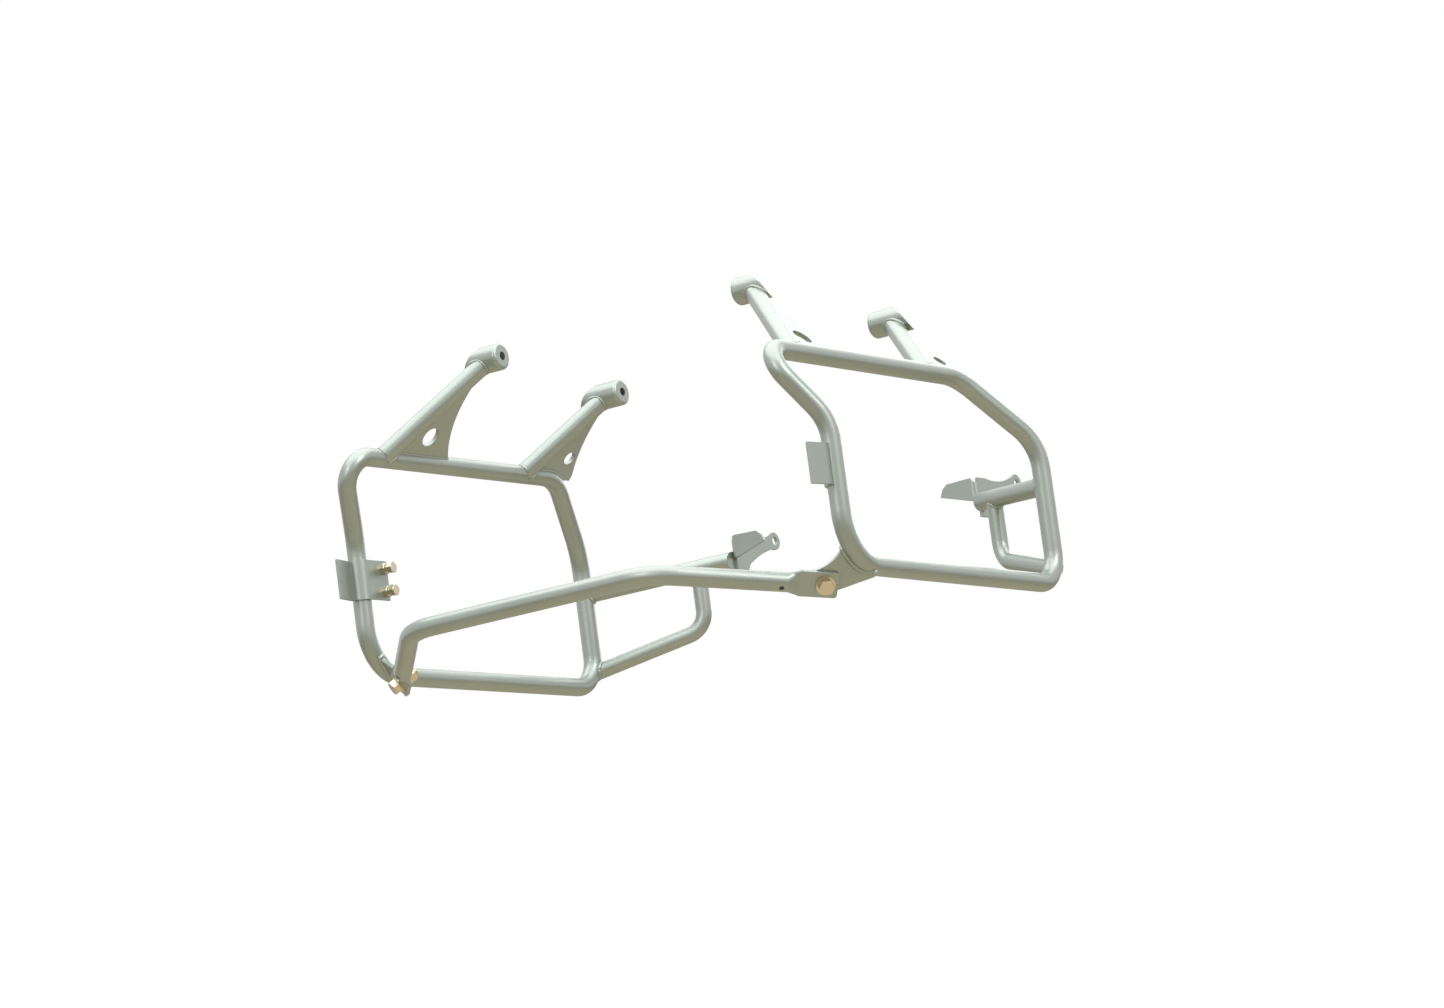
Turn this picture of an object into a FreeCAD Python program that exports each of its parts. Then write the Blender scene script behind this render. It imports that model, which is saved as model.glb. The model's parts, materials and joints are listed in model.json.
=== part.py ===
import FreeCAD, Part
import math
import os
import Sketcher
from FreeCAD import Placement, Rotation, Vector

# Pannier frame: two mirrored side carriers of bent tube and a bolted rear crossbar.
# X is across the bike with the right side positive, Y is the riding direction, Z is up.
# Places are first given from the rear leg and the bottom tube of the loop, and then
# shifted so that the origin lies under the middle of the whole frame.

document = FreeCAD.newDocument("pannier_frame")
sheet = document.addObject("Spreadsheet::Sheet", "sizes")

driving_sizes = (
    ("tube_diameter", 18.0, "outside diameter of every tube"),
    ("loop_half_spacing", 272.0, "middle of the bike to the lower loop"),
    ("loop_length", 365.5, "rear leg to front leg"),
    ("rear_leg_height", 131.0, "bottom tube to the bend of the rear leg"),
    ("front_leg_height", 136.0, "bottom tube to the bend of the front leg"),
    ("top_tube_height", 203.0, "bottom tube to top tube"),
    ("top_tube_inset", 35.0, "top tube inboard of the lower loop"),
    ("rear_corner_overhang", 50.0, "upper rear corner behind the rear leg"),
    ("front_corner_setback", 75.0, "upper front corner behind the front leg"),
    ("lower_rear_radius", 46.0, "bend radius, lower rear corner"),
    ("lower_front_radius", 32.0, "bend radius, lower front corner"),
    ("upper_rear_radius", 22.0, "bend radius, upper rear corner"),
    ("gentle_radius", 50.0, "bend radius of the leg and slope bends"),
    ("rear_arm_place", 10.0, "rear arm on the top tube, ahead of the rear leg"),
    ("rear_arm_inboard", 84.0, "rear arm's run towards the bike"),
    ("rear_arm_forward", 78.0, "rear arm's run forwards"),
    ("rear_arm_rise", 85.0, "rear arm's rise"),
    ("front_arm_place", 236.0, "front arm on the top tube, ahead of the rear leg"),
    ("front_arm_inboard", 69.0, "front arm's run towards the bike"),
    ("front_arm_forward", 64.0, "front arm's run forwards"),
    ("front_arm_rise", 70.0, "front arm's rise"),
    ("cup_diameter", 26.0, "turned boss at the end of an arm"),
    ("rear_cup_length", 39.5, "rear boss, end to end along its longest side"),
    ("rear_cup_reach", 16.0, "rear boss inboard of the arm's axis"),
    ("front_cup_length", 46.0, "front boss, end to end along its longest side"),
    ("front_cup_reach", 19.0, "front boss inboard of the arm's axis"),
    ("cup_mouth_diameter", 14.0, "recess for the bolt head"),
    ("cup_floor", 8.0, "wall that the bolt clamps"),
    ("cup_bolt_hole", 8.5, "clearance hole for an M8 bolt"),
    ("cup_edge", 3.5, "round edge at the inboard end"),
    ("cup_mouth_angle", 34.0, "slope of the cut mouth, degrees"),
    ("cup_mouth_turn", 22.0, "cut mouth turned towards the front, degrees"),
    ("plate_thickness", 4.0, "gussets and crossbar lugs"),
    ("rear_gusset_along_tube", 98.0, "rear gusset, arm's foot to its tip on the tube"),
    ("rear_gusset_along_arm", 94.0, "rear gusset, its height beside the arm"),
    ("rear_gusset_waist", 76.0, "rear gusset, free edge at half height"),
    ("rear_gusset_hole", 20.0, "lightening hole in the rear gusset"),
    ("rear_hole_along_tube", 52.5, "its middle, ahead of the arm's foot"),
    ("rear_hole_along_arm", 30.0, "its middle, above the top tube's axis"),
    ("front_gusset_along_tube", 76.0, "front gusset, arm's foot to its tip on the tube"),
    ("front_gusset_along_arm", 82.0, "front gusset, its height beside the arm"),
    ("front_gusset_waist", 66.0, "front gusset, free edge at half height"),
    ("front_gusset_hole", 14.0, "lightening hole in the front gusset"),
    ("front_hole_along_tube", 57.0, "its middle, ahead of the arm's foot"),
    ("front_hole_along_arm", 25.0, "its middle, above the top tube's axis"),
    ("crossbar_half_width", 135.0, "middle of the bike to the crossbar's bend"),
    ("crossbar_behind", 113.0, "crossbar behind the rear leg"),
    ("crossbar_rise", 11.0, "crossbar above the bottom tube"),
    ("crossbar_radius", 55.0, "bend radius of the crossbar"),
    ("crossbar_bolt_inset", 30.0, "crossbar bolt inboard of the lower loop"),
    ("crossbar_bolt_forward", 4.5, "crossbar bolt ahead of the rear leg"),
    ("crossbar_bolt_drop", 13.0, "crossbar bolt below the bottom tube"),
    ("tab_height", 24.0, "flattened end of the crossbar"),
    ("tab_thickness", 4.0, "flattened end of the crossbar"),
    ("tab_beyond_bolt", 12.0, "bolt to the end of the tab"),
    ("tab_before_bolt", 24.0, "bolt to the start of the flat"),
    ("tab_corner", 3.0, "corner radius of the tab"),
    ("tab_roll", 31.0, "tab rolled about the leg, so that its face looks down, degrees"),
    ("flattening_length", 11.0, "tube to flat"),
    ("drain_hole", 4.5, "drain hole near the flattened end"),
    ("drain_hole_depth", 4.0, "drain hole into the tube"),
    ("drain_hole_setback", 6.0, "drain hole before the flattening"),
    ("drain_hole_turn", 40.0, "drain hole turned from straight down, degrees"),
    ("lug_height", 34.0, "lug's tip above the crossbar bolt"),
    ("lug_reach", 45.0, "lug from the bolt to its tip under the loop"),
    ("bolt_thread", 8.0, "crossbar bolt"),
    ("bolt_hole", 8.5, "hole for the crossbar bolt"),
    ("bolt_across_flats", 13.0, "crossbar bolt and nut"),
    ("bolt_head_height", 6.4, "hexagon above the flange"),
    ("bolt_flange_diameter", 18.0, "flange of the crossbar bolt"),
    ("bolt_flange_height", 1.8, "flange of the crossbar bolt"),
    ("bolt_nut_height", 8.0, "crossbar nut"),
    ("bolt_tail", 3.0, "thread past the nut"),
    ("washer_diameter", 16.0, "washer under the crossbar nut"),
    ("washer_thickness", 1.6, "washer under the crossbar nut"),
    ("cross_tube_height", 95.0, "cross tube on the front leg above the bottom tube"),
    ("cross_tube_rise", 16.0, "cross tube, rise to its inner end"),
    ("cross_tube_forward", 88.0, "cross tube, run forwards to the bracket"),
    ("bracket_half_spacing", 147.0, "middle of the bike to the bracket's outer face"),
    ("bracket_setback", 2.0, "bracket's rear face behind the cross tube's end"),
    ("bracket_thickness", 3.0, "folded sheet of the front bracket"),
    ("bracket_fold", 5.5, "outside radius of the fold"),
    ("bracket_top", 25.0, "bracket above the cross tube's end"),
    ("bracket_bottom", 2.5, "inboard wing above the cross tube's end"),
    ("bracket_wing", 41.5, "inboard wing of the bracket"),
    ("bracket_foot", 79.0, "bracket's rear face to the front bolt hole"),
    ("bracket_foot_rise", 24.0, "front bolt hole above the cross tube's end"),
    ("bracket_lobe", 9.0, "radius of the end around the bolt hole"),
    ("bracket_bolt_hole", 8.5, "front bolt hole"),
    ("bracket_skirt", 14.0, "lower lobe below the cross tube's end"),
    ("bracket_skirt_length", 27.0, "lower lobe ahead of the bracket's rear face"),
    ("brace_diameter", 16.0, "outside diameter of the brace"),
    ("brace_low", 15.0, "brace's foot above the bottom tube"),
    ("brace_bend_height", 46.0, "bend of the brace above the bottom tube"),
    ("brace_setback", 36.0, "brace's upper end before the cross tube's end"),
    ("brace_radius", 24.0, "bend radius of the brace"),
    ("clip_height", 38.0, "folded sheet on the rear leg"),
    ("clip_middle", 90.0, "its middle above the bottom tube"),
    ("clip_thickness", 2.5, "its sheet"),
    ("clip_flange_start", 2.4, "outboard face of the flange, outboard of the leg's axis"),
    ("clip_fold_back", 15.0, "fold of the flange behind the leg's axis"),
    ("clip_back", 36.5, "end of the flange behind the leg's axis"),
    ("clip_turn", 4.1, "flange's end inboard of its start"),
    ("clip_ear", 29.5, "end of the ear ahead of the leg's axis"),
    ("clip_bolt_forward", 23.0, "clip bolts ahead of the leg's axis"),
    ("clip_bolt_spacing", 22.0, "between the two clip bolts"),
    ("clip_bolt_thread", 6.0, "clip bolts"),
    ("clip_bolt_hole", 6.5, "holes for the clip bolts"),
    ("clip_bolt_across_flats", 10.0, "clip bolts and nuts"),
    ("clip_bolt_head", 5.0, "clip bolts"),
    ("clip_nut_height", 5.0, "clip nuts, against the ear's inboard face"),
    ("clip_bolt_gap", 3.0, "bare thread between nut and head"),
    ("clip_bolt_tail", 3.0, "thread outboard of the ear"),
)

for row, (alias, value, note) in enumerate(driving_sizes, start=1):
    sheet.set("A%d" % row, note)
    sheet.set("B%d" % row, str(value))
    sheet.setAlias("B%d" % row, alias)
document.recompute()


def size(alias):
    return float(sheet.get(alias))


tube_radius = size("tube_diameter") / 2

# Places before the shift, on the right side
half = size("loop_half_spacing")
length = size("loop_length")
top_x = half - size("top_tube_inset")
bolt_x = half - size("crossbar_bolt_inset")
leg_run = Vector(
    bolt_x - size("crossbar_half_width"),
    size("crossbar_bolt_forward") + size("crossbar_behind"),
    -size("crossbar_bolt_drop") - size("crossbar_rise"),
)
leg_way = Vector(leg_run).normalize()
leg_up = Vector(0, 0, 1) - leg_way * leg_way.z
leg_up.normalize()
leg_side = leg_way.cross(leg_up)
roll = math.radians(size("tab_roll"))
tab_up = leg_up * math.cos(roll) + leg_side * math.sin(roll)
tab_normal = leg_side * math.cos(roll) - leg_up * math.sin(roll)

# The frame stands on the tabs' lower corners; front and rear ends set the middle
corner = size("tab_corner")
ground = (
    -size("crossbar_bolt_drop")
    + leg_way.z * (size("tab_beyond_bolt") - corner)
    - tab_up.z * (size("tab_height") / 2 - corner)
    - corner * math.hypot(leg_way.z, tab_up.z)
    + tab_normal.z * size("tab_thickness") / 2
)
bracket_y = length + size("cross_tube_forward") - size("bracket_setback")
front_end = bracket_y + size("bracket_foot") + size("bracket_lobe")
rear_end = -size("crossbar_behind") - tube_radius
middle_y = (front_end + rear_end) / 2


def at(x, y, z):
    return Vector(x, y - middle_y, z - ground)


# Small helpers


def feature(kind, name):
    return document.addObject(kind, name)


def way(start, end):
    run = end - start
    run.normalize()
    return run


def facing(origin, along_x, along_y):
    """Placement whose own x and y axes point along the two given ways."""
    return Placement(origin, Rotation(along_x, along_y, along_x.cross(along_y), "XYZ"))


def bent_wire(points, radii):
    """Straight runs through the points, joined by tangent arcs."""
    edges = []
    begin = points[0]
    for before, corner, after, radius in zip(points, points[1:], points[2:], radii):
        to_start = way(corner, before)
        to_end = way(corner, after)
        half_angle = to_start.getAngle(to_end) / 2
        reach = radius / math.tan(half_angle)
        inward = to_start + to_end
        inward.normalize()
        arc_start = corner + to_start * reach
        arc_end = corner + to_end * reach
        arc_middle = corner + inward * (radius / math.sin(half_angle) - radius)
        edges.append(Part.LineSegment(begin, arc_start).toShape())
        edges.append(Part.Arc(arc_start, arc_middle, arc_end).toShape())
        begin = arc_end
    edges.append(Part.LineSegment(begin, points[-1]).toShape())
    return Part.Wire(edges)


def bent_tube(name, points, radii, radius="sizes.tube_diameter / 2"):
    """Round bar of the tube's outside, swept along a bent path."""
    path = feature("Part::Feature", name + "_path")
    path.Shape = bent_wire(points, radii)
    ring = feature("Part::Circle", name + "_ring")
    ring.setExpression("Radius", radius)
    ring.Placement = Placement(points[0], Rotation(Vector(0, 0, 1), way(points[0], points[1])))
    sweep = feature("Part::Sweep", name)
    sweep.Sections = [ring]
    sweep.Spine = (path, ["Edge%d" % (i + 1) for i in range(len(path.Shape.Edges))])
    sweep.Solid = True
    sweep.Frenet = False
    return sweep


def rod(name, start, end, radius):
    """Cylinder from one point to another; radius is an expression on the sheet."""
    cylinder = feature("Part::Cylinder", name)
    cylinder.setExpression("Radius", radius)
    cylinder.Height = (end - start).Length
    cylinder.Placement = Placement(start, Rotation(Vector(0, 0, 1), way(start, end)))
    return cylinder


def cut(name, base, *tools):
    for number, tool in enumerate(tools):
        trimmed = feature("Part::Cut", name if number == len(tools) - 1 else name + "_rough")
        trimmed.Base = base
        trimmed.Tool = tool
        base = trimmed
    return base


def fuse(name, *pieces):
    joined = feature("Part::MultiFuse", name)
    joined.Shapes = list(pieces)
    joined.Refine = True
    return joined


def group(name, *pieces):
    together = feature("Part::Compound", name)
    together.Links = list(pieces)
    return together


def mirrored(name, source):
    other = feature("Part::Mirroring", name)
    other.Source = source
    other.Base = Vector(0, 0, 0)
    other.Normal = Vector(1, 0, 0)
    return other


def new_body(name):
    return document.addObject("PartDesign::Body", name)


def plane_sketch(body, role, name):
    """Empty sketch on one of the body's own origin planes."""
    sketch = body.newObject("Sketcher::SketchObject", name)
    plane = [p for p in body.Origin.OriginFeatures if p.Role == role][0]
    sketch.AttachmentSupport = [(plane, "")]
    sketch.MapMode = "FlatFace"
    return sketch


def draw_outline(sketch, start, *steps):
    """Closed outline; a step is the next corner, or an arc's middle and its end."""
    here = Vector(*start)
    ends = []
    for step in steps:
        if isinstance(step[0], tuple):
            middle = Vector(*step[0])
            there = Vector(*step[1])
            turns_left = (middle - here).cross(there - middle).z > 0
            if turns_left:
                index = sketch.addGeometry(Part.Arc(here, middle, there), False)
                ends.append((index, 1, 2))
            else:
                index = sketch.addGeometry(Part.Arc(there, middle, here), False)
                ends.append((index, 2, 1))
        else:
            there = Vector(*step)
            index = sketch.addGeometry(Part.LineSegment(here, there), False)
            ends.append((index, 1, 2))
        here = there
    for (one, _, leaves), (two, enters, _) in zip(ends, ends[1:] + ends[:1]):
        sketch.addConstraint(Sketcher.Constraint("Coincident", one, leaves, two, enters))


def draw_circle(sketch, centre, radius):
    """Circle whose radius is an expression on the sheet."""
    index = sketch.addGeometry(Part.Circle(Vector(*centre), Vector(0, 0, 1), 1.0), False)
    number = sketch.addConstraint(Sketcher.Constraint("Radius", index, 1.0))
    sketch.setExpression("Constraints[%d]" % number, radius)
    sketch.addConstraint(Sketcher.Constraint("DistanceX", -1, 1, index, 3, centre[0]))
    sketch.addConstraint(Sketcher.Constraint("DistanceY", -1, 1, index, 3, centre[1]))


def pad(body, sketch, length_expression, reverse=False):
    grown = body.newObject("PartDesign::Pad", sketch.Name + "_pad")
    grown.Profile = sketch
    grown.setExpression("Length", length_expression)
    grown.Reversed = reverse
    body.Tip = grown
    return grown


nodes = {}


def keep(name, piece):
    piece.Label = name
    nodes[name] = piece


def keep_both(name, piece):
    """The right-hand piece and its mirror image on the left."""
    keep("right_" + name, piece)
    keep("left_" + name, mirrored("left_" + name, piece))


# Main loop, bent from one tube

loop_corners = [
    at(half, 0, 0),
    at(half, 0, size("rear_leg_height")),
    at(top_x, -size("rear_corner_overhang"), size("top_tube_height")),
    at(top_x, length - size("front_corner_setback"), size("top_tube_height")),
    at(half, length, size("front_leg_height")),
    at(half, length, 0),
]
low_middle = (loop_corners[0] + loop_corners[5]) / 2
top_middle = (loop_corners[2] + loop_corners[3]) / 2
rear_half = bent_tube(
    "loop_rear_half",
    [low_middle] + loop_corners[:3] + [top_middle],
    [size("lower_rear_radius"), size("gentle_radius"), size("upper_rear_radius")],
)
front_half = bent_tube(
    "loop_front_half",
    [top_middle] + loop_corners[3:] + [low_middle],
    [size("gentle_radius"), size("gentle_radius"), size("lower_front_radius")],
)
loop = fuse("right_main_loop", rear_half, front_half)
keep_both("main_loop", loop)


# Arms, cups and gussets


def arm_ends(which):
    foot = at(top_x, size(which + "_arm_place"), size("top_tube_height"))
    run = Vector(
        -size(which + "_arm_inboard"), size(which + "_arm_forward"), size(which + "_arm_rise")
    )
    return foot, foot + run


def make_cup(which, centre):
    """Turned boss across the bike, recessed for a bolt head, with its mouth cut on a slope."""
    body = new_body("right_" + which + "_cup_turned")
    sketch = plane_sketch(body, "XY_Plane", which + "_cup_profile")
    outer = size("cup_diameter") / 2
    mouth = size("cup_mouth_diameter") / 2
    hole = size("cup_bolt_hole") / 2
    edge = size("cup_edge")
    floor = size("cup_floor")
    end = size(which + "_cup_length")
    reach = size(which + "_cup_reach")
    knee = edge * (1 - math.cos(math.pi / 4))
    draw_outline(
        sketch,
        (0, hole, 0),
        (0, outer - edge, 0),
        ((knee, outer - knee, 0), (edge, outer, 0)),
        (end, outer, 0),
        (end, mouth, 0),
        (floor, mouth, 0),
        (floor, hole, 0),
        (0, hole, 0),
    )
    turned = body.newObject("PartDesign::Revolution", which + "_cup_turn")
    turned.Profile = sketch
    turned.ReferenceAxis = (sketch, ["H_Axis"])
    turned.Angle = 360
    body.Tip = turned
    body.Placement = Placement(centre - Vector(reach, 0, 0), Rotation())

    # The mouth slopes up and forwards from the lip, where the boss is longest
    knife = feature("Part::Box", which + "_cup_knife")
    knife.setExpression("Length", "sizes.%s_cup_length * 2" % which)
    knife.setExpression("Width", "sizes.cup_diameter * 3")
    knife.setExpression("Height", "sizes.cup_diameter * 4")
    turn = Rotation(Vector(0, 0, 1), size("cup_mouth_turn"))
    tilt = turn.multiply(Rotation(Vector(0, 1, 0), -size("cup_mouth_angle")))
    facing_out = tilt.multVec(Vector(1, 0, 0))
    away = Vector(0, -facing_out.y, -facing_out.z).normalize()
    lip = centre + Vector(end - reach, 0, 0) + away * outer
    inner_corner = Vector(0, -size("cup_diameter") * 1.5, -size("cup_diameter") * 2)
    knife.Placement = Placement(lip + tilt.multVec(inner_corner), tilt)
    return cut("right_" + which + "_cup", body, knife)


def make_gusset(which, foot, top, arm, *tools):
    """Plate in the plane of arm and top tube, with a hollow free edge and a round hole."""
    along = Vector(0, 1, 0)
    arm_way = way(foot, top)
    across = arm_way - along * arm_way.dot(along)
    across.normalize()
    lean = arm_way.dot(along) / arm_way.dot(across)
    tall = size(which + "_gusset_along_arm")
    far = size(which + "_gusset_along_tube")
    waist = size(which + "_gusset_waist")
    beside_arm = tube_radius * 1.4
    tip_height = tube_radius * 0.8
    body = new_body(which + "_gusset_plate")
    sketch = plane_sketch(body, "XY_Plane", which + "_gusset_outline")
    draw_outline(
        sketch,
        (0, 0, 0),
        (tall * lean, tall, 0),
        (tall * lean + beside_arm, tall, 0),
        ((waist, tall / 2, 0), (far, tip_height, 0)),
        (far, 0, 0),
        (0, 0, 0),
    )
    hole_place = (size(which + "_hole_along_tube"), size(which + "_hole_along_arm"), 0)
    draw_circle(sketch, hole_place, "sizes.%s_gusset_hole / 2" % which)
    pad(body, sketch, "sizes.plate_thickness")
    normal = along.cross(across)
    body.Placement = facing(foot - normal * size("plate_thickness") / 2, along, across)
    return cut("right_" + which + "_gusset", body, arm, *tools)


for which in ("rear", "front"):
    foot, top = arm_ends(which)
    bar = rod(which + "_arm_bar", foot, top, "sizes.tube_diameter / 2")
    reach = Vector(size(which + "_cup_reach"), 0, 0)
    boss = rod(
        which + "_boss_room",
        top - reach,
        top - reach + Vector(size(which + "_cup_length"), 0, 0),
        "sizes.cup_diameter / 2",
    )
    keep_both(which + "_arm", cut("right_" + which + "_arm", bar, loop, boss))
    keep_both(which + "_cup", make_cup(which, top))
    keep_both(which + "_gusset", make_gusset(which, foot, top, bar, loop, boss))


# Rear crossbar: bent tube with flattened, bolted ends

bolt_point = at(bolt_x, size("crossbar_bolt_forward"), -size("crossbar_bolt_drop"))
bend_point = at(size("crossbar_half_width"), -size("crossbar_behind"), size("crossbar_rise"))
flat_start = bolt_point - leg_way * size("tab_before_bolt")
tube_end = flat_start - leg_way * size("flattening_length")


def across_bike(point):
    return Vector(-point.x, point.y, point.z)


bar_tube = bent_tube(
    "crossbar_tube",
    [tube_end, bend_point, across_bike(bend_point), across_bike(tube_end)],
    [size("crossbar_radius"), size("crossbar_radius")],
)


def make_tab():
    """Pressed end: the round tube flows into a flat tab with rounded corners."""
    ring = feature("Part::Circle", "tab_ring")
    ring.setExpression("Radius", "sizes.tube_diameter / 2")
    ring.Placement = facing(tube_end, tab_normal, tab_up)
    high = size("tab_height") / 2
    thin = size("tab_thickness") / 2
    slot = feature("Part::Feature", "tab_slot")
    round_part = high - thin
    kink = thin * math.sqrt(0.5)
    slot.Shape = Part.Wire(
        [
            Part.LineSegment(Vector(thin, -round_part, 0), Vector(thin, round_part, 0)).toShape(),
            Part.Arc(
                Vector(thin, round_part, 0), Vector(0, high, 0), Vector(-thin, round_part, 0)
            ).toShape(),
            Part.LineSegment(Vector(-thin, round_part, 0), Vector(-thin, -round_part, 0)).toShape(),
            Part.Arc(
                Vector(-thin, -round_part, 0), Vector(0, -high, 0), Vector(thin, -round_part, 0)
            ).toShape(),
        ]
    )
    slot.Placement = facing(flat_start, tab_normal, tab_up)
    flow = feature("Part::Loft", "tab_flow")
    flow.Sections = [ring, slot]
    flow.Solid = True
    flow.Ruled = True

    body = new_body("tab_plate")
    sketch = plane_sketch(body, "XY_Plane", "tab_outline")
    end = size("tab_before_bolt") + size("tab_beyond_bolt")
    knee = corner * (1 - math.cos(math.pi / 4))
    draw_outline(
        sketch,
        (0, -high, 0),
        (end - corner, -high, 0),
        ((end - knee, -high + knee, 0), (end, -high + corner, 0)),
        (end, high - corner, 0),
        ((end - knee, high - knee, 0), (end - corner, high, 0)),
        (0, high, 0),
        (0, -high, 0),
    )
    draw_circle(sketch, (size("tab_before_bolt"), 0, 0), "sizes.bolt_hole / 2")
    pad(body, sketch, "sizes.tab_thickness")
    body.Placement = facing(flat_start - tab_normal * thin, leg_way, tab_up)
    return flow, body


tab_flow, tab_plate = make_tab()
drain_point = tube_end - leg_way * size("drain_hole_setback")
drain_turn = math.radians(size("drain_hole_turn"))
drain_way = leg_side * math.sin(drain_turn) - leg_up * math.cos(drain_turn)
drain = rod(
    "drain_drill",
    drain_point + drain_way * (tube_radius - size("drain_hole_depth")),
    drain_point + drain_way * tube_radius * 2,
    "sizes.drain_hole / 2",
)
crossbar_solid = fuse(
    "crossbar_solid",
    bar_tube,
    tab_flow,
    tab_plate,
    mirrored("left_tab_flow", tab_flow),
    mirrored("left_tab_plate", tab_plate),
)
keep("crossbar", cut("crossbar", crossbar_solid, drain, mirrored("left_drain_drill", drain)))


# Lug plate under the lower rear bend, flat against the inner side of the tab


def make_lug():
    """Flat plate; each corner is a share of the lug's reach and of its height."""
    body = new_body("lug_plate")
    sketch = plane_sketch(body, "XY_Plane", "lug_outline")
    high = size("lug_height")
    reach = size("lug_reach")
    draw_outline(
        sketch,
        (-0.27 * reach, -0.26 * high, 0),
        (0.13 * reach, -0.26 * high, 0),
        (0.98 * reach, 0.25 * high, 0),
        (reach, 0.47 * high, 0),
        (0.76 * reach, 0.82 * high, 0),
        (0.36 * reach, 1.06 * high, 0),
        (0.27 * reach, high, 0),
        ((0.05 * reach, 0.58 * high, 0), (-0.27 * reach, 0.32 * high, 0)),
        (-0.27 * reach, -0.26 * high, 0),
    )
    draw_circle(sketch, (0, 0, 0), "sizes.bolt_hole / 2")
    pad(body, sketch, "sizes.plate_thickness")
    inner_face = size("tab_thickness") / 2 + size("plate_thickness")
    body.Placement = facing(bolt_point - tab_normal * inner_face, leg_way, tab_up)
    return cut("right_crossbar_lug", body, loop)


keep_both("crossbar_lug", make_lug())


# Fasteners. Each is drawn along its own z axis, from the clamped face to the nut.


def draw_hexagon(sketch, across_flats):
    radius = across_flats / math.sqrt(3)
    corners = [
        (radius * math.cos(math.radians(60 * k)), radius * math.sin(math.radians(60 * k)), 0)
        for k in range(7)
    ]
    draw_outline(sketch, *corners)


def trim_corners(body, name, across_flats, end):
    """30 degree turned bevel on a hexagon's outer end, which lies at this height on z."""
    sketch = plane_sketch(body, "XZ_Plane", name)
    flat = across_flats / 2 * 0.96
    point = across_flats / math.sqrt(3) * 1.1
    drop = (point - flat) * math.tan(math.radians(30))
    inner = end - math.copysign(drop, end)
    beyond = end + math.copysign(drop, end)
    draw_outline(
        sketch, (flat, end, 0), (flat, beyond, 0), (point, beyond, 0), (point, inner, 0), (flat, end, 0)
    )
    groove = body.newObject("PartDesign::Groove", name + "_groove")
    groove.Profile = sketch
    groove.ReferenceAxis = (sketch, ["V_Axis"])
    groove.Angle = 360
    body.Tip = groove


def place_along(origin, axis):
    side = Vector(0, 0, 1).cross(axis)
    if side.Length < 1e-6:
        side = Vector(1, 0, 0)
    side.normalize()
    return facing(origin, side, axis.cross(side))


def make_bolt(name, seat, axis, across_flats, head, thread, shank, flange=None):
    body = new_body(name)
    hexagon = plane_sketch(body, "XY_Plane", name + "_hexagon")
    draw_hexagon(hexagon, across_flats)
    pad(body, hexagon, "+".join("sizes." + part for part in head), reverse=True)
    trim_corners(body, name + "_bevel", across_flats, -sum(size(part) for part in head))
    if flange:
        disc = plane_sketch(body, "XY_Plane", name + "_disc")
        draw_circle(disc, (0, 0, 0), flange[0])
        pad(body, disc, flange[1], reverse=True)
    stem = plane_sketch(body, "XY_Plane", name + "_stem")
    draw_circle(stem, (0, 0, 0), thread)
    pad(body, stem, shank)
    body.Placement = place_along(seat, axis)
    return body


def make_nut(name, seat, axis, across_flats, height, thread):
    body = new_body(name)
    sketch = plane_sketch(body, "XY_Plane", name + "_hexagon")
    draw_hexagon(sketch, across_flats)
    draw_circle(sketch, (0, 0, 0), thread)
    pad(body, sketch, "sizes." + height)
    trim_corners(body, name + "_bevel", across_flats, size(height))
    body.Placement = place_along(seat, axis)
    return body


# The crossbar's bolt goes in from behind, through tab, lug, washer and nut
inward = tab_normal * -1
bolt_seat = bolt_point + tab_normal * size("tab_thickness") / 2
grip = "sizes.tab_thickness + sizes.plate_thickness + sizes.washer_thickness"
right_bolt = make_bolt(
    "right_crossbar_bolt",
    bolt_seat,
    inward,
    size("bolt_across_flats"),
    ("bolt_flange_height", "bolt_head_height"),
    "sizes.bolt_thread / 2",
    grip + " + sizes.bolt_nut_height + sizes.bolt_tail",
    ("sizes.bolt_flange_diameter / 2", "sizes.bolt_flange_height"),
)
keep("crossbar_bolts", group("crossbar_bolts", right_bolt, mirrored("left_bolt", right_bolt)))

washer_depth = size("tab_thickness") / 2 + size("plate_thickness")
washer_body = new_body("right_crossbar_washer")
washer_sketch = plane_sketch(washer_body, "XY_Plane", "washer_outline")
draw_circle(washer_sketch, (0, 0, 0), "sizes.washer_diameter / 2")
draw_circle(washer_sketch, (0, 0, 0), "sizes.bolt_hole / 2")
pad(washer_body, washer_sketch, "sizes.washer_thickness")
washer_body.Placement = place_along(bolt_point + inward * washer_depth, inward)
keep(
    "crossbar_washers",
    group("crossbar_washers", washer_body, mirrored("left_washer", washer_body)),
)

nut_depth = washer_depth + size("washer_thickness")
right_nut = make_nut(
    "right_crossbar_nut",
    bolt_point + inward * nut_depth,
    inward,
    size("bolt_across_flats"),
    "bolt_nut_height",
    "sizes.bolt_thread / 2",
)
keep("crossbar_nuts", group("crossbar_nuts", right_nut, mirrored("left_nut", right_nut)))


# Front mount: cross tube, brace and folded bracket

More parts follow.
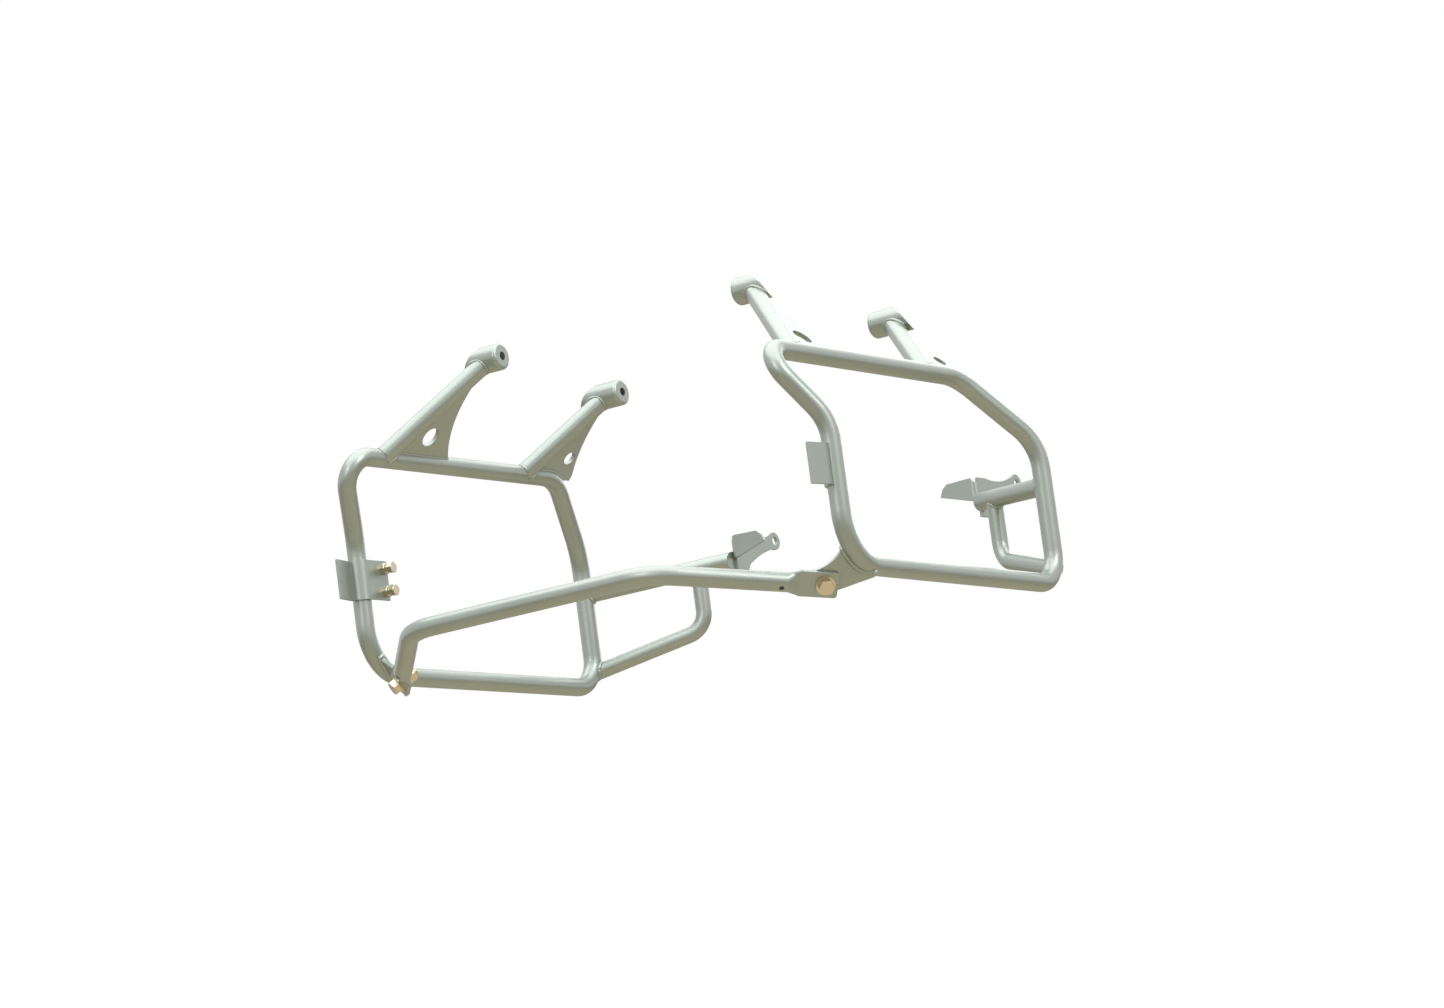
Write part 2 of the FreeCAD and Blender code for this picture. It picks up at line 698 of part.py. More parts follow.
cross_start = at(half, length, size("cross_tube_height"))
cross_end = at(
    size("bracket_half_spacing"),
    length + size("cross_tube_forward"),
    size("cross_tube_height") + size("cross_tube_rise"),
)
cross_way = way(cross_start, cross_end)
cross_bar = rod("cross_bar", cross_start, cross_end + cross_way * tube_radius, "sizes.tube_diameter / 2")
inner_room = feature("Part::Box", "bracket_side_room")
inner_room.setExpression("Length", "sizes.tube_diameter * 2")
inner_room.setExpression("Width", "sizes.tube_diameter * 4")
inner_room.setExpression("Height", "sizes.tube_diameter * 4")
inner_room.Placement = Placement(
    cross_end - Vector(tube_radius * 4, tube_radius * 4, tube_radius * 4), Rotation()
)
cross_tube = cut("right_cross_tube", cross_bar, loop, inner_room)
keep_both("cross_tube", cross_tube)

brace_share = 1 - size("brace_setback") / (cross_end - cross_start).Length
brace_top = cross_start + (cross_end - cross_start) * brace_share
brace_bend = at(0, 0, size("brace_bend_height"))
brace_bend = Vector(brace_top.x, brace_top.y, brace_bend.z)
brace_foot = at(half, length, size("brace_low"))
brace_bar = bent_tube(
    "brace_bar",
    [brace_foot, brace_bend, brace_top],
    [size("brace_radius")],
    "sizes.brace_diameter / 2",
)
keep_both("brace_tube", cut("right_brace_tube", brace_bar, loop, cross_bar))


def make_front_bracket():
    """Sheet folded at a right angle: a wing inboard and a foot that runs forwards.

    Corners without a size of their own are shares of the wing, the foot and the top.
    """
    top = size("bracket_top")
    low = size("bracket_bottom")
    thick = size("bracket_thickness")
    fold = size("bracket_fold")
    wing = size("bracket_wing")
    lobe = size("bracket_lobe")
    hole_y = size("bracket_foot")
    hole_z = size("bracket_foot_rise")
    end = hole_y + lobe
    here = Placement(
        Vector(size("bracket_half_spacing"), bracket_y - middle_y, cross_end.z), Rotation()
    )

    # The bent section, seen from above
    section = new_body("bracket_section")
    sketch = plane_sketch(section, "XY_Plane", "bracket_bend")
    outer_knee = fold * (1 - math.sqrt(0.5))
    inner = fold - thick
    inner_knee = thick + inner * (1 - math.sqrt(0.5))
    draw_outline(
        sketch,
        (-wing, 0, 0),
        (-fold, 0, 0),
        ((-outer_knee, outer_knee, 0), (0, fold, 0)),
        (0, end, 0),
        (-thick, end, 0),
        (-thick, fold, 0),
        ((-inner_knee, inner_knee, 0), (-fold, thick, 0)),
        (-wing, thick, 0),
        (-wing, 0, 0),
    )
    pad(section, sketch, "2 * (sizes.bracket_top + sizes.bracket_skirt)")
    lowered = Vector(here.Base)
    lowered.z -= size("bracket_skirt") * 1.5
    section.Placement = Placement(lowered, Rotation())

    # The wing's outline, seen from behind, with its notch at the fold
    wing_block = new_body("bracket_wing_block")
    wing_sketch = plane_sketch(wing_block, "XZ_Plane", "bracket_wing_outline")
    notch = thick * 1.5
    draw_outline(
        wing_sketch,
        (0, low, 0),
        (0, top - notch, 0),
        (-fold / 2, top - notch, 0),
        (-fold, top, 0),
        (-0.79 * wing, 0.97 * top, 0),
        (-0.92 * wing, 0.8 * top, 0),
        (-wing, top / 2, 0),
        (-0.2 * wing, low, 0),
        (0, low, 0),
    )
    pad(wing_block, wing_sketch, "sizes.bracket_fold", reverse=True)
    wing_block.Placement = here

    # The foot's outline, seen from the side
    foot_block = new_body("bracket_foot_block")
    foot_sketch = plane_sketch(foot_block, "YZ_Plane", "bracket_foot_outline")
    skirt = size("bracket_skirt")
    skirt_end = size("bracket_skirt_length")
    diagonal = lobe * math.sqrt(0.5)
    draw_outline(
        foot_sketch,
        (fold, -skirt, 0),
        (fold, top, 0),
        (0.25 * hole_y, top, 0),
        ((0.5 * hole_y, 0.93 * top, 0), (hole_y - diagonal, hole_z + diagonal, 0)),
        ((end, hole_z, 0), (hole_y - diagonal / 2, hole_z - lobe * 0.935, 0)),
        ((0.62 * hole_y, 0.3 * top, 0), (skirt_end + skirt / 2, 0, 0)),
        ((skirt_end, -skirt * 0.4, 0), (skirt_end - 2, -skirt, 0)),
        (fold, -skirt, 0),
    )
    draw_circle(foot_sketch, (hole_y, hole_z, 0), "sizes.bracket_bolt_hole / 2")
    pad(foot_block, foot_sketch, "sizes.bracket_fold", reverse=True)
    foot_block.Placement = here

    bracket = feature("Part::MultiCommon", "right_front_bracket")
    bracket.Shapes = [section, fuse("bracket_blocks", wing_block, foot_block)]
    return bracket


keep_both("front_bracket", make_front_bracket())


# Clip bracket on the inboard side of the rear leg, with two bolts and nuts


def clip_bolt_heights():
    spread = size("clip_bolt_spacing") / 2
    return [size("clip_middle") - spread, size("clip_middle") + spread]


def make_clip_bracket():
    """Sheet with a flange behind the leg, a saddle on the tube and an ear ahead of it."""
    body = new_body("clip_sheet")
    thick = size("clip_thickness")
    outer = tube_radius + thick
    start = size("clip_flange_start")
    fold = size("clip_fold_back")
    back = size("clip_back")
    turn = size("clip_turn")
    ear = size("clip_ear")

    def behind_leg(radius, x):
        return (x, -math.sqrt(radius**2 - x**2), 0)

    diagonal = math.sqrt(0.5)
    sketch = plane_sketch(body, "XY_Plane", "clip_section")
    draw_outline(
        sketch,
        behind_leg(tube_radius, start),
        (start, -fold, 0),
        (start - turn, -back, 0),
        (start - turn - thick, -back, 0),
        (start - thick, -fold, 0),
        behind_leg(outer, start - thick),
        ((-outer * diagonal, -outer * diagonal, 0), (-outer, 0, 0)),
        (-outer, ear, 0),
        (-tube_radius, ear, 0),
        (-tube_radius, 0, 0),
        ((-tube_radius * diagonal, -tube_radius * diagonal, 0), behind_leg(tube_radius, start)),
    )
    pad(body, sketch, "sizes.clip_height")
    body.Placement = Placement(
        at(half, 0, size("clip_middle") - size("clip_height") / 2), Rotation()
    )
    drills = []
    for number, bolt_z in enumerate(clip_bolt_heights()):
        place = at(half, size("clip_bolt_forward"), bolt_z)
        drills.append(
            rod(
                "clip_drill_%d" % number,
                place - Vector(outer + thick, 0, 0),
                place - Vector(tube_radius - thick, 0, 0),
                "sizes.clip_bolt_hole / 2",
            )
        )
    return cut("right_clip_bracket", body, *drills)


keep_both("clip_bracket", make_clip_bracket())

# Each clip bolt comes from inboard, past a little bare thread, through nut and ear
clip_bolts = []
clip_nuts = []
ear_face = half - tube_radius - size("clip_thickness")
head_face = ear_face - size("clip_nut_height") - size("clip_bolt_gap")
for number, bolt_z in enumerate(clip_bolt_heights()):
    clip_bolts.append(
        make_bolt(
            "clip_bolt_%d" % number,
            at(head_face, size("clip_bolt_forward"), bolt_z),
            Vector(1, 0, 0),
            size("clip_bolt_across_flats"),
            ("clip_bolt_head",),
            "sizes.clip_bolt_thread / 2",
            "sizes.clip_bolt_gap + sizes.clip_nut_height + sizes.clip_thickness + sizes.clip_bolt_tail",
        )
    )
    clip_nuts.append(
        make_nut(
            "clip_nut_%d" % number,
            at(ear_face, size("clip_bolt_forward"), bolt_z),
            Vector(-1, 0, 0),
            size("clip_bolt_across_flats"),
            "clip_nut_height",
            "sizes.clip_bolt_thread / 2",
        )
    )
keep_both("clip_bolts", group("right_clip_bolts", *clip_bolts))
keep_both("clip_nuts", group("right_clip_nuts", *clip_nuts))


# Build, check and write

document.recompute()
broken = [o.Label for o in document.Objects if {"Invalid", "Error"} & set(o.State)]
assert not broken, "failed objects: %s" % ", ".join(broken)
os.makedirs("parts", exist_ok=True)
for name, piece in nodes.items():
    shape = piece.Shape
    assert not shape.isNull(), name + " is empty"
    assert shape.isValid(), name + " is not valid"
    assert shape.Solids, name + " has no solid"
    shape.exportStep("parts/%s.step" % name)
    box = shape.BoundBox
    print(
        "%-22s %d solids, %9.1f mm3, x %.1f..%.1f y %.1f..%.1f z %.1f..%.1f"
        % (
            name,
            len(shape.Solids),
            shape.Volume,
            box.XMin,
            box.XMax,
            box.YMin,
            box.YMax,
            box.ZMin,
            box.ZMax,
        )
    )
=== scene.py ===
import json
import math

import bmesh
import bpy
from mathutils import Matrix, Vector
from mathutils.bvhtree import BVHTree


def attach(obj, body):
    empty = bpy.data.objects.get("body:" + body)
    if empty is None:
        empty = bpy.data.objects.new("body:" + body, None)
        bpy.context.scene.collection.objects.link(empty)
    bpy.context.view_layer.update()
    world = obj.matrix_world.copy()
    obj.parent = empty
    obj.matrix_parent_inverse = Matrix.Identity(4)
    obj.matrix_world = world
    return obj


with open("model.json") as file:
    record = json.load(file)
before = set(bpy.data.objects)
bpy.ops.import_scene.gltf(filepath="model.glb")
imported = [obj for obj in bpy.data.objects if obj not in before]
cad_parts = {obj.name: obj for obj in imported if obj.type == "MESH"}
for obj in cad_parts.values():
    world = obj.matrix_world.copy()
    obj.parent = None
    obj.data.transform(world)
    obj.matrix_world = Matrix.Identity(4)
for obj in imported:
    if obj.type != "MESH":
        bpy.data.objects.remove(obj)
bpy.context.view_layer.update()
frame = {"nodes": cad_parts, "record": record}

# Sizes in the dictionaries are millimetres unless they are called metres
millimetre = 0.001


def linear(hexColour):
    parts = [int(hexColour[i:i + 2], 16) / 255 for i in (1, 3, 5)]
    straight = [c / 12.92 if c <= 0.04045 else ((c + 0.055) / 1.055) ** 2.4 for c in parts]
    return (*straight, 1.0)


def addNode(tree, kind, settings=None, **inputs):
    # one node; an input is a value, or a socket that it is linked from, and in0 is socket 0
    node = tree.nodes.new(kind)
    for key, value in (settings or {}).items():
        setattr(node, key, value)
    for key, value in inputs.items():
        numbered = key.startswith("in") and key[2:].isdigit()
        socket = node.inputs[int(key[2:]) if numbered else key]
        if isinstance(value, bpy.types.NodeSocket):
            tree.links.new(value, socket)
        else:
            socket.default_value = value
    return node


def newMaterial(name):
    material = bpy.data.materials.new(name)
    material.use_nodes = True
    tree = material.node_tree
    tree.nodes.clear()
    return material, tree


# Powder coat on steel: a baked satin skin with fine metal flake. It is slightly pebbled
# like orange peel, so highlights are broad with soft edges, and it rounds every cut edge.
powderCoat = {
    "colour": "#99a29b",
    "paler": "#a4aca5",
    "metallic": 0.75,
    "roughness": 0.36,
    "smootherBy": 0.03,
    "rougherBy": 0.05,
    "peelSize": 1.4,
    "peelDepth": 0.02,
    "peelStrength": 0.6,
    "flakeSize": 0.35,
    "flakeShare": 0.08,
    "patchSize": 60.0,
    "edgeRound": 0.6,
}


def makePowderCoat(facts):
    material, tree = newMaterial("satinPowderCoat")
    place = addNode(tree, "ShaderNodeTexCoord").outputs["Object"]
    patches = addNode(
        tree, "ShaderNodeTexNoise", in0=place, Detail=3.0, Scale=1 / (facts["patchSize"] * millimetre)
    )
    tone = addNode(
        tree, "ShaderNodeMix", {"data_type": "RGBA"},
        in0=patches.outputs["Fac"], in6=linear(facts["colour"]), in7=linear(facts["paler"]),
    )
    flake = addNode(
        tree, "ShaderNodeTexNoise", in0=place, Detail=1.0, Scale=1 / (facts["flakeSize"] * millimetre)
    )
    flakeTone = addNode(
        tree, "ShaderNodeMix", {"data_type": "RGBA", "blend_type": "OVERLAY"},
        in0=facts["flakeShare"], in6=tone.outputs[2], in7=flake.outputs["Color"],
    )
    roughness = addNode(
        tree, "ShaderNodeMapRange", Value=patches.outputs["Fac"],
        **{
            "To Min": facts["roughness"] - facts["smootherBy"],
            "To Max": facts["roughness"] + facts["rougherBy"],
        },
    )
    peel = addNode(
        tree, "ShaderNodeTexNoise", in0=place, Detail=2.0, Scale=1 / (facts["peelSize"] * millimetre)
    )
    edges = addNode(
        tree, "ShaderNodeBevel", {"samples": 4}, Radius=facts["edgeRound"] * millimetre
    )
    bump = addNode(
        tree, "ShaderNodeBump", Strength=facts["peelStrength"],
        Distance=facts["peelDepth"] * millimetre,
        Height=peel.outputs["Fac"], Normal=edges.outputs[0],
    )
    shader = addNode(
        tree, "ShaderNodeBsdfPrincipled", Metallic=facts["metallic"],
        Roughness=roughness.outputs[0], Normal=bump.outputs[0],
        **{"Base Color": flakeTone.outputs[2]},
    )
    addNode(tree, "ShaderNodeOutputMaterial", Surface=shader.outputs[0])
    return material


# Bright zinc plate on steel fasteners: a thin metal skin with a faint yellow passivation.
# It mirrors its surroundings, slightly blurred by the fine grain of the plating.
zincPlate = {
    "colour": "#cdc3ad",
    "roughness": 0.2,
    "smootherBy": 0.06,
    "rougherBy": 0.08,
    "grainSize": 0.5,
}


def makeZincPlate(facts):
    material, tree = newMaterial("brightZincPlate")
    place = addNode(tree, "ShaderNodeTexCoord").outputs["Object"]
    grain = addNode(
        tree, "ShaderNodeTexNoise", in0=place, Detail=2.0, Scale=1 / (facts["grainSize"] * millimetre)
    )
    roughness = addNode(
        tree, "ShaderNodeMapRange", Value=grain.outputs["Fac"],
        **{
            "To Min": facts["roughness"] - facts["smootherBy"],
            "To Max": facts["roughness"] + facts["rougherBy"],
        },
    )
    shader = addNode(
        tree, "ShaderNodeBsdfPrincipled", Metallic=1.0, Roughness=roughness.outputs[0],
        **{"Base Color": linear(facts["colour"])},
    )
    addNode(tree, "ShaderNodeOutputMaterial", Surface=shader.outputs[0])
    return material


satinPowderCoat = makePowderCoat(powderCoat)
brightZincPlate = makeZincPlate(zincPlate)
slotMaterials = {"powder_coat": satinPowderCoat, "zinc_steel": brightZincPlate}
slotOf = {part["node"]: part["material_slot"] for part in frame["record"]["subparts"]}
for nodeName, nodeObject in frame["nodes"].items():
    for materialSlot in nodeObject.material_slots:
        materialSlot.material = slotMaterials[slotOf[nodeName]]
print("materials assigned to", len(frame["nodes"]), "CAD nodes")


# Weld beads: a coated fillet with fine ripples along every seam where a cut tube or plate
# meets its neighbour. The seams are read from the CAD meshes' own edges.
weldBead = {
    "ripplePitch": 3.0,
    "rippleShare": 0.05,
    "step": 0.55,
    "smoothing": 3,
    "sides": 8,
    "merge": 0.01,
    "touch": 0.25,
    "sharpDegrees": 25.0,
    "fullFrom": 0.5,
    "thinnest": 0.12,
}
# cut piece, the piece it is welded to, and the bead's radius
weldSeams = [
    ("rear_arm", "main_loop", 2.2),
    ("front_arm", "main_loop", 2.2),
    ("rear_arm", "rear_cup", 2.0),
    ("front_arm", "front_cup", 2.0),
    ("rear_gusset", "rear_arm", 1.5),
    ("rear_gusset", "main_loop", 1.5),
    ("front_gusset", "front_arm", 1.5),
    ("front_gusset", "main_loop", 1.5),
    ("crossbar_lug", "main_loop", 2.8),
    ("cross_tube", "main_loop", 2.2),
    ("cross_tube", "front_bracket", 2.0),
    ("brace_tube", "main_loop", 2.0),
    ("brace_tube", "cross_tube", 2.0),
]


def mergedCopy(nodeName, distance):
    # a CAD mesh is loose triangles, so a copy is merged before its edges are read
    copy = bmesh.new()
    copy.from_mesh(frame["nodes"][nodeName].data)
    bmesh.ops.remove_doubles(copy, verts=copy.verts, dist=distance)
    return copy


def seamEdges(cutNode, wholeNode, facts):
    cutMesh = mergedCopy(cutNode, facts["merge"] * millimetre)
    wholeMesh = mergedCopy(wholeNode, facts["merge"] * millimetre)
    surface = BVHTree.FromBMesh(wholeMesh)

    def touches(point):
        return surface.find_nearest(point, facts["touch"] * millimetre)[0] is not None

    def fullness(edge):
        # a bead fills the corner between two surfaces, and thins out where they run flush
        outside = surface.find_nearest((edge.verts[0].co + edge.verts[1].co) / 2)[1]
        flush = max(face.normal.dot(outside) for face in edge.link_faces)
        return max(facts["thinnest"], min(1.0, (1 - flush) / facts["fullFrom"]))

    sharp = math.radians(facts["sharpDegrees"])
    points, edges, numbers, shares = [], [], {}, []
    for edge in cutMesh.edges:
        if len(edge.link_faces) != 2 or edge.calc_face_angle() < sharp:
            continue
        one, two = edge.verts
        if not (touches(one.co) and touches(two.co) and touches((one.co + two.co) / 2)):
            continue
        share = fullness(edge)
        for vertex in (one, two):
            if vertex.index not in numbers:
                numbers[vertex.index] = len(points)
                points.append(vertex.co.copy())
                shares.append(share)
            else:
                number = numbers[vertex.index]
                shares[number] = min(shares[number], share)
        edges.append((numbers[one.index], numbers[two.index]))
    cutMesh.free()
    wholeMesh.free()
    return points, edges, shares


def newTree(name, sockets):
    # a node group with its named sockets, given as (name, in or out, kind)
    tree = bpy.data.node_groups.new(name, "GeometryNodeTree")
    for socketName, direction, kind in sockets:
        tree.interface.new_socket(socketName, in_out=direction, socket_type="NodeSocket" + kind)
    return tree, addNode(tree, "NodeGroupInput").outputs


def makeBeadTree(material):
    tree, given = newTree("weldBeadTree", [
        ("Seams", "INPUT", "Geometry"),
        ("Unit", "INPUT", "Float"),
        ("Ripple Pitch", "INPUT", "Float"),
        ("Ripple Share", "INPUT", "Float"),
        ("Step", "INPUT", "Float"),
        ("Smoothing", "INPUT", "Int"),
        ("Sides", "INPUT", "Int"),
        ("Beads", "OUTPUT", "Geometry"),
    ])
    line = addNode(tree, "GeometryNodeMeshToCurve", Mesh=given["Seams"])
    even = addNode(
        tree, "GeometryNodeResampleCurve", {"mode": "LENGTH"},
        Curve=line.outputs[0], Length=given["Step"],
    )
    soft = addNode(
        tree, "GeometryNodeBlurAttribute", {"data_type": "FLOAT_VECTOR"},
        Value=addNode(tree, "GeometryNodeInputPosition").outputs[0], Iterations=given["Smoothing"],
    )
    smooth = addNode(
        tree, "GeometryNodeSetPosition", Geometry=even.outputs[0], Position=soft.outputs[0]
    )
    along = addNode(tree, "GeometryNodeSplineParameter").outputs["Length"]
    turns = addNode(
        tree, "ShaderNodeMath", {"operation": "DIVIDE"}, in0=along, in1=given["Ripple Pitch"]
    )
    angle = addNode(
        tree, "ShaderNodeMath", {"operation": "MULTIPLY"}, in0=turns.outputs[0], in1=2 * math.pi
    )
    wave = addNode(tree, "ShaderNodeMath", {"operation": "SINE"}, in0=angle.outputs[0])
    swell = addNode(
        tree, "ShaderNodeMath", {"operation": "MULTIPLY_ADD"},
        in0=wave.outputs[0], in1=given["Ripple Share"], in2=1.0,
    )
    radius = addNode(
        tree, "GeometryNodeInputNamedAttribute", {"data_type": "FLOAT"}, Name="beadRadius"
    )
    thickness = addNode(
        tree, "ShaderNodeMath", {"operation": "MULTIPLY"}, in0=swell.outputs[0], in1=radius.outputs[0]
    )
    ring = addNode(
        tree, "GeometryNodeCurvePrimitiveCircle", Resolution=given["Sides"], Radius=given["Unit"]
    )
    bead = addNode(
        tree, "GeometryNodeCurveToMesh", Curve=smooth.outputs[0], Scale=thickness.outputs[0],
        **{"Profile Curve": ring.outputs[0], "Fill Caps": True},
    )
    real = addNode(tree, "GeometryNodeRealizeInstances", Geometry=bead.outputs[0])
    coated = addNode(
        tree, "GeometryNodeSetMaterial", Geometry=real.outputs[0], Material=material
    )
    shaded = addNode(tree, "GeometryNodeSetShadeSmooth", Geometry=coated.outputs[0])
    addNode(tree, "NodeGroupOutput", Beads=shaded.outputs[0])
    return tree


def grow(source, tree, inputs, name):
    # runs the tree on the source, whose evaluated result becomes a plain mesh of its own;
    # the source goes, and its modifier with it
    modifier = source.modifiers.new(tree.name, "NODES")
    modifier.node_group = tree
    identifiers = {item.name: item.identifier for item in tree.interface.items_tree}
    for inputName, value in inputs.items():
        modifier[identifiers[inputName]] = value
    evaluated = source.evaluated_get(bpy.context.evaluated_depsgraph_get())
    mesh = bpy.data.meshes.new_from_object(evaluated)
    bpy.data.objects.remove(source, do_unlink=True)
    mesh.name = name
    return linkedObject(name, mesh)


def linkedObject(name, data):
    thing = bpy.data.objects.new(name, data)
    bpy.context.collection.objects.link(thing)
    return thing


def makeWeldBeads(facts, seams, material):
    points, edges, radii = [], [], []
    for side in ("right_", "left_"):
        for cutNode, wholeNode, radius in seams:
            seamPoints, seamLines, shares = seamEdges(side + cutNode, side + wholeNode, facts)
            print("seam", side + cutNode, wholeNode, len(seamLines), "edges")
            base = len(points)
            points += seamPoints
            edges += [(a + base, b + base) for a, b in seamLines]
            radii += [radius * share for share in shares]
    mesh = bpy.data.meshes.new("weldSeams")
    mesh.from_pydata(points, edges, [])
    mesh.attributes.new("beadRadius", "FLOAT", "POINT").data.foreach_set("value", radii)
    return grow(linkedObject("weldSeams", mesh), makeBeadTree(material), {
        "Unit": millimetre,
        "Ripple Pitch": facts["ripplePitch"] * millimetre,
        "Ripple Share": facts["rippleShare"],
        "Step": facts["step"] * millimetre,
        "Smoothing": facts["smoothing"],
        "Sides": facts["sides"],
    }, "weldBeads")


weldBeads = makeWeldBeads(weldBead, weldSeams, satinPowderCoat)
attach(weldBeads, "root")
print("weld beads ready,", len(weldBeads.data.polygons), "faces")


# Thread ridges on the bare ends of the bolts, wound round the plain shanks of the CAD nodes.
# Each start is a point on a right-hand bolt's axis, in the shared frame.
crossbarThread = {
    "radius": 4.0,
    "pitch": 1.25,
    "length": 3.0,
    "ridge": 0.32,
    "stepsPerTurn": 28,
    "starts": ((232.92, -194.36, 20.52),),
    "axis": (-0.582, 0.634, 0.5093),
}
clipThread = {
    "radius": 3.0,
    "pitch": 1.0,
    "length": 3.0,
    "ridge": 0.26,
    "stepsPerTurn": 24,
    "starts": (
        (252.5, -185.75, 104.57),
        (263.0, -185.75, 104.57),
        (252.5, -185.75, 126.57),
        (263.0, -185.75, 126.57),
    ),
    "axis": (1.0, 0.0, 0.0),
}


def makeThreadTree(material):
    tree, given = newTree("threadTree", [
        ("Runs", "INPUT", "Geometry"),
        ("Radius", "INPUT", "Float"),
        ("Pitch", "INPUT", "Float"),
        ("Length", "INPUT", "Float"),
        ("Ridge", "INPUT", "Float"),
        ("Steps Per Turn", "INPUT", "Int"),
        ("Ridges", "OUTPUT", "Geometry"),
    ])
    turns = addNode(
        tree, "ShaderNodeMath", {"operation": "DIVIDE"}, in0=given["Length"], in1=given["Pitch"]
    )
    helix = addNode(
        tree, "GeometryNodeCurveSpiral", Resolution=given["Steps Per Turn"], Height=given["Length"],
        Rotations=turns.outputs[0],
        **{"Start Radius": given["Radius"], "End Radius": given["Radius"]},
    )
    profile = addNode(
        tree, "GeometryNodeCurvePrimitiveCircle", Resolution=4, Radius=given["Ridge"]
    )
    ridge = addNode(
        tree, "GeometryNodeCurveToMesh", Curve=helix.outputs[0],
        **{"Profile Curve": profile.outputs[0], "Fill Caps": True},
    )
    axis = addNode(
        tree, "GeometryNodeInputNamedAttribute", {"data_type": "FLOAT_VECTOR"}, Name="boltAxis"
    )
    turned = addNode(
        tree, "FunctionNodeAlignRotationToVector", {"axis": "Z"}, Vector=axis.outputs[0]
    )
    placed = addNode(
        tree, "GeometryNodeInstanceOnPoints", Points=given["Runs"], Instance=ridge.outputs[0],
        Rotation=turned.outputs[0],
    )
    real = addNode(tree, "GeometryNodeRealizeInstances", Geometry=placed.outputs[0])
    plated = addNode(
        tree, "GeometryNodeSetMaterial", Geometry=real.outputs[0], Material=material
    )
    addNode(tree, "NodeGroupOutput", Ridges=plated.outputs[0])
    return tree


def makeThread(name, facts, tree):
    # the left side mirrors the starts and axes of the right one
    points, axes = [], []
    for side in (1, -1):
        for x, y, z in facts["starts"]:
            points.append((side * x * millimetre, y * millimetre, z * millimetre))
            axes += [side * facts["axis"][0], facts["axis"][1], facts["axis"][2]]
    mesh = bpy.data.meshes.new(name + "Runs")
    mesh.from_pydata(points, [], [])
    mesh.attributes.new("boltAxis", "FLOAT_VECTOR", "POINT").data.foreach_set("vector", axes)
    return grow(linkedObject(name + "Runs", mesh), tree, {
        "Radius": facts["radius"] * millimetre,
        "Pitch": facts["pitch"] * millimetre,
        "Length": facts["length"] * millimetre,
        "Ridge": facts["ridge"] * millimetre,
        "Steps Per Turn": facts["stepsPerTurn"],
    }, name)


threadTree = makeThreadTree(brightZincPlate)
for threadName, threadFacts in (("crossbarThreads", crossbarThread), ("clipThreads", clipThread)):
    thread = makeThread(threadName, threadFacts, threadTree)
    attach(thread, "root")
    print(threadName, "ready,", len(thread.data.polygons), "faces")


# Studio, in metres and watts: a pale warm floor far below the hung frame, a broad soft lamp
# overhead, three weaker ones round it and a white surround. Sky stops run from straight
# down at 0 to straight up at 1.
studio = {
    "floorBelow": 0.95,
    "floorSize": 40.0,
    "floorColour": "#cabca2",
    "floorRoughness": 0.8,
    "aim": (0.0, 0.0, 0.15),
    "lamps": {
        "topLight": {"place": (0.0, -0.1, 1.9), "size": 3.6, "power": 56.0},
        "frontLight": {"place": (0.2, -3.4, 1.5), "size": 1.6, "power": 18.0},
        "rightLight": {"place": (2.3, -0.3, 1.5), "size": 1.3, "power": 22.0},
        "aheadLight": {"place": (-0.3, 3.2, 1.5), "size": 2.2, "power": 24.0},
    },
    "sky": ((0.3, "#5a5446"), (0.52, "#b4b8b2"), (0.85, "#f6faff")),
    "skyStrength": 0.75,
}


def makeFloor(facts):
    # matt painted board: even and without shine, so it only takes the frame's soft shadow
    half = facts["floorSize"] / 2
    depth = -facts["floorBelow"]
    corners = [(x * half, y * half, depth) for x, y in ((-1, -1), (1, -1), (1, 1), (-1, 1))]
    mesh = bpy.data.meshes.new("studioFloor")
    mesh.from_pydata(corners, [], [(0, 1, 2, 3)])
    material, tree = newMaterial("palePaintedFloor")
    shader = addNode(
        tree, "ShaderNodeBsdfPrincipled", Roughness=facts["floorRoughness"],
        **{"Base Color": linear(facts["floorColour"])},
    )
    addNode(tree, "ShaderNodeOutputMaterial", Surface=shader.outputs[0])
    mesh.materials.append(material)
    return linkedObject("studioFloor", mesh)


def makeLamp(name, lamp, aim):
    light = bpy.data.lights.new(name, "AREA")
    light.shape = "DISK"
    light.size = lamp["size"]
    light.energy = lamp["power"]
    lampObject = linkedObject(name, light)
    lampObject.location = lamp["place"]
    towards = Vector(aim) - Vector(lamp["place"])
    lampObject.rotation_euler = towards.to_track_quat("-Z", "Y").to_euler()


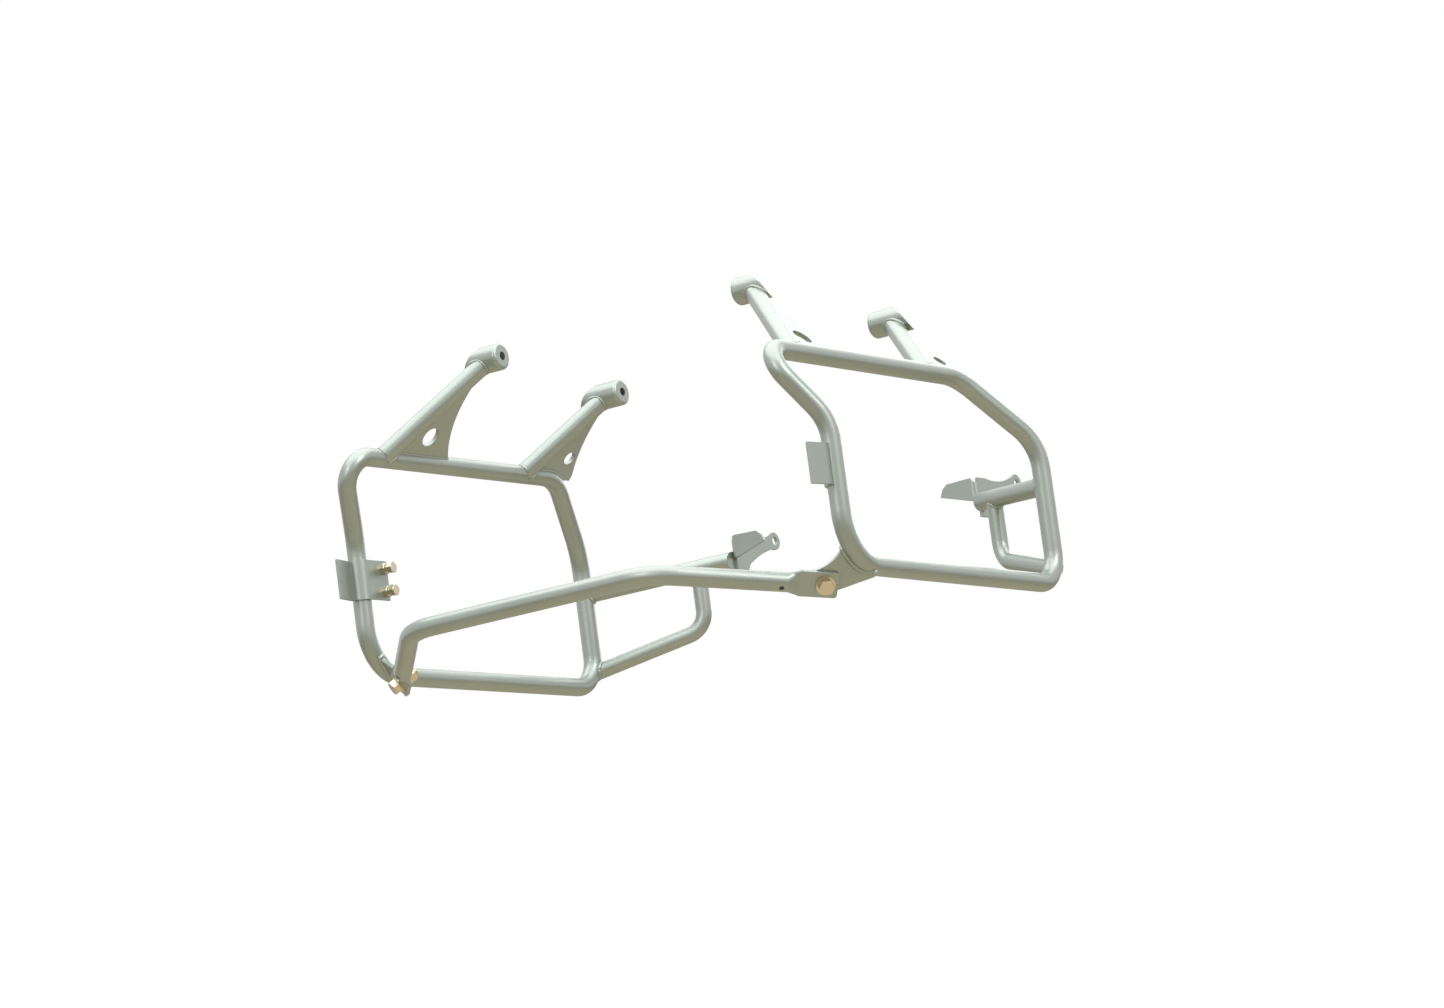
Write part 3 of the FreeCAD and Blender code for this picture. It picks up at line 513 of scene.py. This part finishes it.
def makeWorld(facts):
    # plain white for the camera and in reflections, and a graded sky for all other light
    world = bpy.data.worlds.new("studioWorld")
    bpy.context.scene.world = world
    world.use_nodes = True
    tree = world.node_tree
    tree.nodes.clear()
    direction = addNode(tree, "ShaderNodeTexCoord").outputs["Generated"]
    height = addNode(tree, "ShaderNodeSeparateXYZ", in0=direction).outputs["Z"]
    level = addNode(
        tree, "ShaderNodeMapRange", Value=height, **{"From Min": -1.0, "From Max": 1.0}
    )
    ramp = addNode(tree, "ShaderNodeValToRGB", Fac=level.outputs[0])
    stops = ramp.color_ramp.elements
    low, middle, high = facts["sky"]
    stops[0].position, stops[0].color = low[0], linear(low[1])
    stops[1].position, stops[1].color = high[0], linear(high[1])
    stops.new(middle[0]).color = linear(middle[1])
    lit = addNode(
        tree, "ShaderNodeBackground", Color=ramp.outputs[0], Strength=facts["skyStrength"]
    )
    seen = addNode(tree, "ShaderNodeBackground", Color=(1, 1, 1, 1), Strength=1.0)
    path = addNode(tree, "ShaderNodeLightPath").outputs
    direct = addNode(
        tree, "ShaderNodeMath", {"operation": "MAXIMUM"},
        in0=path["Is Camera Ray"], in1=path["Is Transmission Ray"],
    )
    either = addNode(
        tree, "ShaderNodeMath", {"operation": "MAXIMUM"},
        in0=direct.outputs[0], in1=path["Is Glossy Ray"],
    )
    shown = addNode(
        tree, "ShaderNodeMixShader", Fac=either.outputs[0], in1=lit.outputs[0], in2=seen.outputs[0]
    )
    addNode(tree, "ShaderNodeOutputWorld", Surface=shown.outputs[0])


floor = makeFloor(studio)
for lampName, lampFacts in studio["lamps"].items():
    makeLamp(lampName, lampFacts, studio["aim"])
makeWorld(studio)
print("studio ready")

# Camera at the photograph's angle, in metres, fitted to the mirrored sides of the frame.
# Its lens and sensor are in millimetres, and the last three rows are its own axes.
photoView = {
    "lens": 134.42,
    "sensor": 36.0,
    "place": (2.7961, -4.2352, -0.6973),
    "right": (0.81615, 0.56293, -0.13045),
    "up": (0.19996, -0.06333, 0.97775),
    "back": (0.54214, -0.82408, -0.16425),
}
camera = linkedObject("photoCamera", bpy.data.cameras.new("photoCamera"))
camera.data.sensor_width = photoView["sensor"]
camera.data.lens = photoView["lens"]
axes = Matrix([photoView["right"], photoView["up"], photoView["back"]]).transposed()
camera.matrix_world = Matrix.Translation(photoView["place"]) @ axes.to_4x4()
bpy.context.scene.camera = camera
bpy.context.scene.view_settings.view_transform = "Standard"
print("camera ready")
